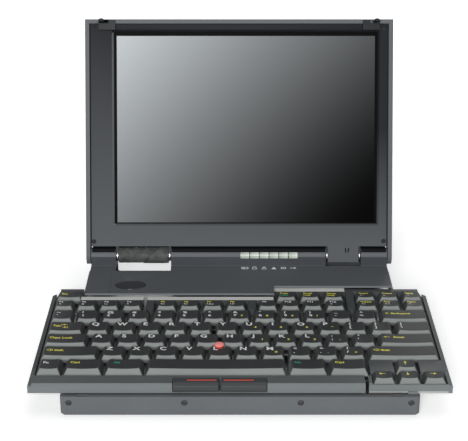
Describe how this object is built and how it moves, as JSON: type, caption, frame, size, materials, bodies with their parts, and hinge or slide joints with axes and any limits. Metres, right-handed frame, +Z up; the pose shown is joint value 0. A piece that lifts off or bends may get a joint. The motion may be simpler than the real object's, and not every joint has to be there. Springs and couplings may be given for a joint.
{
  "type": "subnotebook computer",
  "caption": "Small clamshell laptop, open, with a flat screen, a pointing stick and a keyboard in two halves that slide out past the case as the lid opens.",
  "frame": {"origin": "bottom centre of the box round the open laptop, on the surface that it stands on", "axes": "+X to the user's right along the spread keyboard, +Y to the back, +Z up"},
  "size_m": [0.2914, 0.2646, 0.2188],
  "materials": {
    "case_black": "soft matt",
    "frame_black": "matt",
    "rubber_black": "matt",
    "screw_black": "satin",
    "battery_case": "matt",
    "drive_metal": "satin",
    "board_green": "satin",
    "port_metal": "satin",
    "sheet_steel": "dark zinc",
    "lens_clear": "frosted",
    "badge_gloss": "gloss",
    "screen_glass": "gloss",
    "panel_frame": "matt",
    "hinge_steel": "bright",
    "sleeve_black": "wrapped",
    "stick_red": "matt",
    "stick_post": "plain",
    "button_black": "satin",
    "key_grey": "satin"
  },
  "bodies": {
    "base": {"bottom_case": "case_black", "rubber_feet": "rubber_black", "front_screws": "screw_black", "battery_pack": "battery_case", "hard_drive": "drive_metal", "card_cage": "drive_metal", "mainboard": "board_green", "port_block": "port_metal", "keyboard_tray": "sheet_steel", "rear_deck": "case_black", "indicator_window": "lens_clear", "oval_plate": "badge_gloss"},
    "power_slider": {"power_slider": "case_black"},
    "lid": {"lid_shell": "case_black", "lid_bezel": "case_black", "screen_glass": "screen_glass", "lcd_panel": "panel_frame", "inverter_board": "board_green", "bezel_screws": "screw_black", "hinge_cheeks": "hinge_steel", "cable_sleeve": "sleeve_black", "latch_blocks": "case_black"},
    "left_latch_hook": {"left_latch_hook": "case_black"},
    "right_latch_hook": {"right_latch_hook": "case_black"},
    "left_carriage": {"left_carriage": "sheet_steel"},
    "left_crank": {"left_crank": "sheet_steel"},
    "left_link": {"left_link": "sheet_steel"},
    "right_carriage": {"right_carriage": "sheet_steel"},
    "right_crank": {"right_crank": "sheet_steel"},
    "right_link": {"right_link": "sheet_steel"},
    "left_half": {"left_plate": "sheet_steel", "left_frame": "frame_black", "pointing_stick_post": "stick_post", "pointing_stick_cap": "stick_red", "left_function_keys": "key_grey", "left_number_keys": "key_grey", "left_upper_letters": "key_grey", "left_home_letters": "key_grey", "left_lower_letters": "key_grey", "left_bottom_keys": "key_grey"},
    "right_half": {"right_plate": "sheet_steel", "right_frame": "frame_black", "right_function_keys": "key_grey", "navigation_keys": "key_grey", "right_number_keys": "key_grey", "right_upper_letters": "key_grey", "right_home_letters": "key_grey", "right_lower_letters": "key_grey", "right_bottom_keys": "key_grey", "arrow_keys": "key_grey"},
    "escape_key": {"escape_key": "key_grey"},
    "tab_key": {"tab_key": "key_grey"},
    "caps_lock_key": {"caps_lock_key": "key_grey"},
    "left_shift_key": {"left_shift_key": "key_grey"},
    "space_bar": {"space_bar": "key_grey"},
    "backspace_key": {"backspace_key": "key_grey"},
    "enter_key": {"enter_key": "key_grey"},
    "right_shift_key": {"right_shift_key": "key_grey"},
    "left_click_button": {"left_click_button": "button_black"},
    "right_click_button": {"right_click_button": "button_black"}
  },
  "joints": [
    {"name": "lid_hinge", "type": "hinge", "parent": "base", "child": "lid", "pos_m": [0, 0.05836, 0.0342], "axis": [1, 0, 0], "range_deg": [0, 110.4]},
    {"name": "left_carriage_slide", "type": "slide", "parent": "base", "child": "left_carriage", "axis": [1, 0, 0], "range_m": [0, 0.02222]},
    {"name": "left_crank_pivot", "type": "hinge", "parent": "left_carriage", "child": "left_crank", "pos_m": [-0.07, -0.07034, 0.017], "axis": [0, 0, 1], "range_deg": [0, 360.36]},
    {"name": "left_link_pivot", "type": "hinge", "parent": "left_crank", "child": "left_link", "pos_m": [-0.0668, -0.07034, 0.017], "axis": [0, 0, 1], "range_deg": [-720.72, 0]},
    {"name": "left_half_pivot", "type": "hinge", "parent": "left_link", "child": "left_half", "pos_m": [-0.0636, -0.07034, 0.017], "axis": [0, 0, 1], "range_deg": [0, 360.36]},
    {"name": "right_carriage_slide", "type": "slide", "parent": "base", "child": "right_carriage", "axis": [-0.4726, 0.8813, 0], "range_m": [0, 0.04702]},
    {"name": "right_crank_pivot", "type": "hinge", "parent": "right_carriage", "child": "right_crank", "pos_m": [0.07, -0.07034, 0.017], "axis": [0, 0, 1], "range_deg": [0, 360.36]},
    {"name": "right_link_pivot", "type": "hinge", "parent": "right_crank", "child": "right_link", "pos_m": [0.0668, -0.07551, 0.017], "axis": [0, 0, 1], "range_deg": [-720.72, 0]},
    {"name": "right_half_pivot", "type": "hinge", "parent": "right_link", "child": "right_half", "pos_m": [0.0636, -0.08069, 0.017], "axis": [0, 0, 1], "range_deg": [0, 360.36]},
    {"name": "escape_key_press", "type": "slide", "parent": "left_half", "child": "escape_key", "axis": [0, 0, -1], "range_m": [0, 0.0025], "stiffness_N_per_m": 240},
    {"name": "tab_key_press", "type": "slide", "parent": "left_half", "child": "tab_key", "axis": [0, 0, -1], "range_m": [0, 0.0025], "stiffness_N_per_m": 240},
    {"name": "caps_lock_key_press", "type": "slide", "parent": "left_half", "child": "caps_lock_key", "axis": [0, 0, -1], "range_m": [0, 0.0025], "stiffness_N_per_m": 240},
    {"name": "left_shift_key_press", "type": "slide", "parent": "left_half", "child": "left_shift_key", "axis": [0, 0, -1], "range_m": [0, 0.0025], "stiffness_N_per_m": 240},
    {"name": "space_bar_press", "type": "slide", "parent": "left_half", "child": "space_bar", "axis": [0, 0, -1], "range_m": [0, 0.0025], "stiffness_N_per_m": 240},
    {"name": "backspace_key_press", "type": "slide", "parent": "right_half", "child": "backspace_key", "axis": [0, 0, -1], "range_m": [0, 0.0025], "stiffness_N_per_m": 240},
    {"name": "enter_key_press", "type": "slide", "parent": "right_half", "child": "enter_key", "axis": [0, 0, -1], "range_m": [0, 0.0025], "stiffness_N_per_m": 240},
    {"name": "right_shift_key_press", "type": "slide", "parent": "right_half", "child": "right_shift_key", "axis": [0, 0, -1], "range_m": [0, 0.0025], "stiffness_N_per_m": 240},
    {"name": "left_click_button_press", "type": "slide", "parent": "left_half", "child": "left_click_button", "axis": [0, 0, -1], "range_m": [0, 0.001], "stiffness_N_per_m": 600},
    {"name": "right_click_button_press", "type": "slide", "parent": "left_half", "child": "right_click_button", "axis": [0, 0, -1], "range_m": [0, 0.001], "stiffness_N_per_m": 600},
    {"name": "left_latch_slide", "type": "slide", "parent": "lid", "child": "left_latch_hook", "axis": [1, 0, 0], "range_m": [0, 0.0025], "stiffness_N_per_m": 300},
    {"name": "right_latch_slide", "type": "slide", "parent": "lid", "child": "right_latch_hook", "axis": [-1, 0, 0], "range_m": [0, 0.0025], "stiffness_N_per_m": 300},
    {"name": "power_slide", "type": "slide", "parent": "base", "child": "power_slider", "axis": [0, 1, 0], "range_m": [0, 0.004]}
  ],
  "couplings": [
    {"joint": "left_carriage_slide", "follows": "lid_hinge", "m_per_rad": 0.011521},
    {"joint": "left_crank_pivot", "follows": "lid_hinge", "ratio": 3.2609},
    {"joint": "left_link_pivot", "follows": "lid_hinge", "ratio": -6.5217},
    {"joint": "left_half_pivot", "follows": "lid_hinge", "ratio": 3.2609},
    {"joint": "right_carriage_slide", "follows": "lid_hinge", "m_per_rad": 0.02438},
    {"joint": "right_crank_pivot", "follows": "lid_hinge", "ratio": 3.2609},
    {"joint": "right_link_pivot", "follows": "lid_hinge", "ratio": -6.5217},
    {"joint": "right_half_pivot", "follows": "lid_hinge", "ratio": 3.2609}
  ]
}
